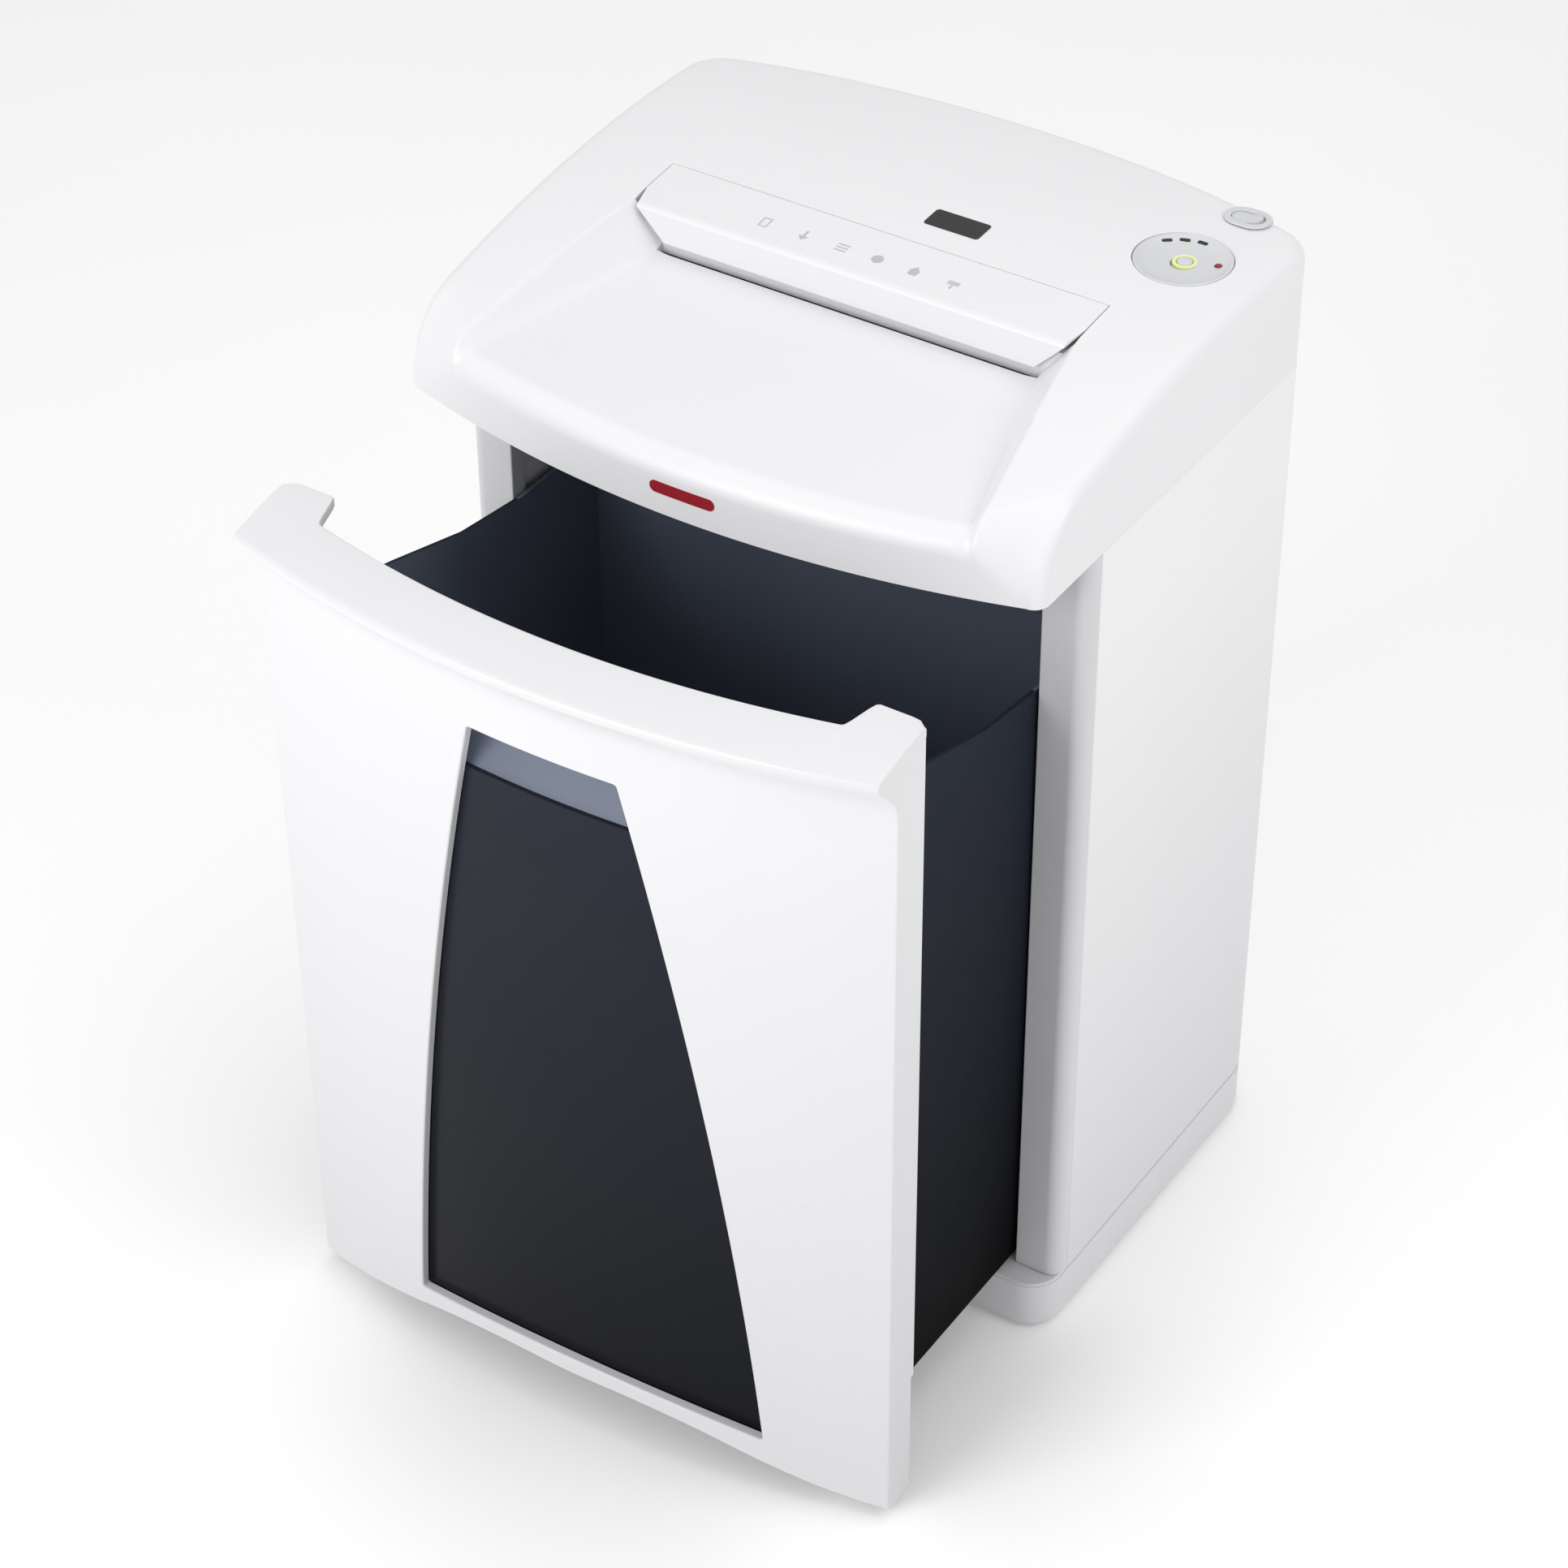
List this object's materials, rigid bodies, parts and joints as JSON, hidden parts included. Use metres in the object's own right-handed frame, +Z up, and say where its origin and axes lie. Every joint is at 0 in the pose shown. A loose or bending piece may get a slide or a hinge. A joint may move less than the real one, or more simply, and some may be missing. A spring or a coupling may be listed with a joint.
{
  "type": "paper shredder",
  "caption": "Office paper shredder: white hood with a sloping feed tray and safety flap on a cabinet, with a pull-out bin drawer drawn out.",
  "frame": {"origin": "on the floor, under the middle of the whole machine with its drawer drawn out", "axes": "+Z up, front towards -Y, +X to the right of someone facing its front"},
  "size_m": [0.395, 0.5055, 0.6179],
  "materials": {
    "white_plastic": "fine textured white moulding",
    "white_laminate": "chipboard with a white laminate face",
    "white_hardboard": "thin white faced board",
    "trim": "satin grey edge strip",
    "nylon": "natural nylon",
    "rubber": "soft black rubber",
    "bin_plastic": "dark blue-black moulding",
    "window": "dark tinted pane",
    "control_grey": "satin light grey",
    "lit_ring": "translucent green light guide",
    "icon_black": "black inlay",
    "lamp_red": "red lens",
    "black_plastic": "black moulding",
    "steel_sheet": "zinc plated steel sheet",
    "steel_turned": "turned steel",
    "screw_steel": "zinc plated screws",
    "gear_steel": "hobbed steel",
    "gear_nylon": "moulded gear plastic",
    "bronze": "sintered bronze",
    "stator_iron": "laminated iron pack",
    "bell_aluminium": "die cast aluminium",
    "capacitor_white": "glossy sleeve",
    "board_green": "solder masked board"
  },
  "bodies": {
    "housing": {"base_board": "white_laminate", "left_side_board": "white_laminate", "right_side_board": "white_laminate", "left_edge_trim": "trim", "right_edge_trim": "trim", "rear_panel": "white_hardboard", "rubber_feet": "rubber", "drawer_rails": "nylon", "hood_cover": "white_plastic", "paper_guides": "steel_sheet", "paper_sensor": "black_plastic", "control_disc": "control_grey", "light_ring": "lit_ring", "status_icons": "icon_black", "warning_lamp": "lamp_red", "rocker_bezel": "control_grey", "mains_inlet": "black_plastic", "flap_hinge_pin": "steel_turned", "flap_switch": "black_plastic", "drawer_switch": "black_plastic", "head_carrier": "steel_sheet", "left_frame_plate": "steel_sheet", "right_frame_plate": "steel_sheet", "gear_plate": "steel_sheet", "plate_standoffs": "steel_turned", "tie_rods": "steel_turned", "shaft_bushes": "bronze", "front_stripper": "nylon", "rear_stripper": "nylon", "reduction_axle": "steel_turned", "motor_stator": "stator_iron", "motor_end_bells": "bell_aluminium", "motor_capacitor": "capacitor_white", "circuit_board": "board_green", "hood_screws": "screw_steel", "frame_screws": "screw_steel"},
    "drawer": {"bin_tub": "bin_plastic", "bin_window": "window", "drawer_front": "white_plastic", "drawer_screws": "screw_steel"},
    "flap": {"safety_flap": "white_plastic"},
    "button": {"control_button": "control_grey"},
    "rocker": {"mains_rocker": "control_grey"},
    "front_cutter": {"front_roller": "steel_turned", "front_sync_gear": "gear_steel"},
    "rear_cutter": {"rear_roller": "steel_turned", "rear_sync_gear": "gear_steel", "drive_gear": "gear_steel"},
    "reduction": {"reduction_gear": "gear_nylon"},
    "rotor": {"motor_rotor": "steel_turned", "motor_pinion": "bronze", "cooling_fan": "black_plastic"}
  },
  "joints": [
    {"name": "drawer_slide", "type": "slide", "parent": "housing", "child": "drawer", "axis": [0, -1, 0], "range_m": [-0.155, 0.05]},
    {"name": "flap_hinge", "type": "hinge", "parent": "housing", "child": "flap", "pos_m": [0, 0.0957, 0.6086], "axis": [1, 0, 0], "range_deg": [0, 4], "stiffness_Nm_per_rad": 0.6, "springref_deg": -3.44},
    {"name": "button_press", "type": "slide", "parent": "housing", "child": "button", "axis": [0, 0, -1], "range_m": [0, 0.0012], "stiffness_N_per_m": 400, "springref_m": -0.0005},
    {"name": "rocker_tilt", "type": "hinge", "parent": "housing", "child": "rocker", "pos_m": [0.156, 0.21696, 0.61092], "axis": [0, 0.9967, -0.0813], "range_deg": [0, 12]},
    {"name": "rear_roller_spin", "type": "hinge", "parent": "housing", "child": "rear_cutter", "pos_m": [0, 0.0787, 0.545], "axis": [1, 0, 0], "continuous": true},
    {"name": "front_roller_spin", "type": "hinge", "parent": "housing", "child": "front_cutter", "pos_m": [0, 0.0397, 0.545], "axis": [1, 0, 0], "continuous": true},
    {"name": "reduction_spin", "type": "hinge", "parent": "housing", "child": "reduction", "pos_m": [0, 0.13152, 0.55623], "axis": [1, 0, 0], "continuous": true},
    {"name": "rotor_spin", "type": "hinge", "parent": "housing", "child": "rotor", "pos_m": [0, 0.17311, 0.55038], "axis": [1, 0, 0], "continuous": true}
  ],
  "couplings": [
    {"joint": "front_roller_spin", "follows": "rear_roller_spin", "ratio": -1},
    {"joint": "reduction_spin", "follows": "rear_roller_spin", "ratio": -3},
    {"joint": "rotor_spin", "follows": "rear_roller_spin", "ratio": 11}
  ]
}
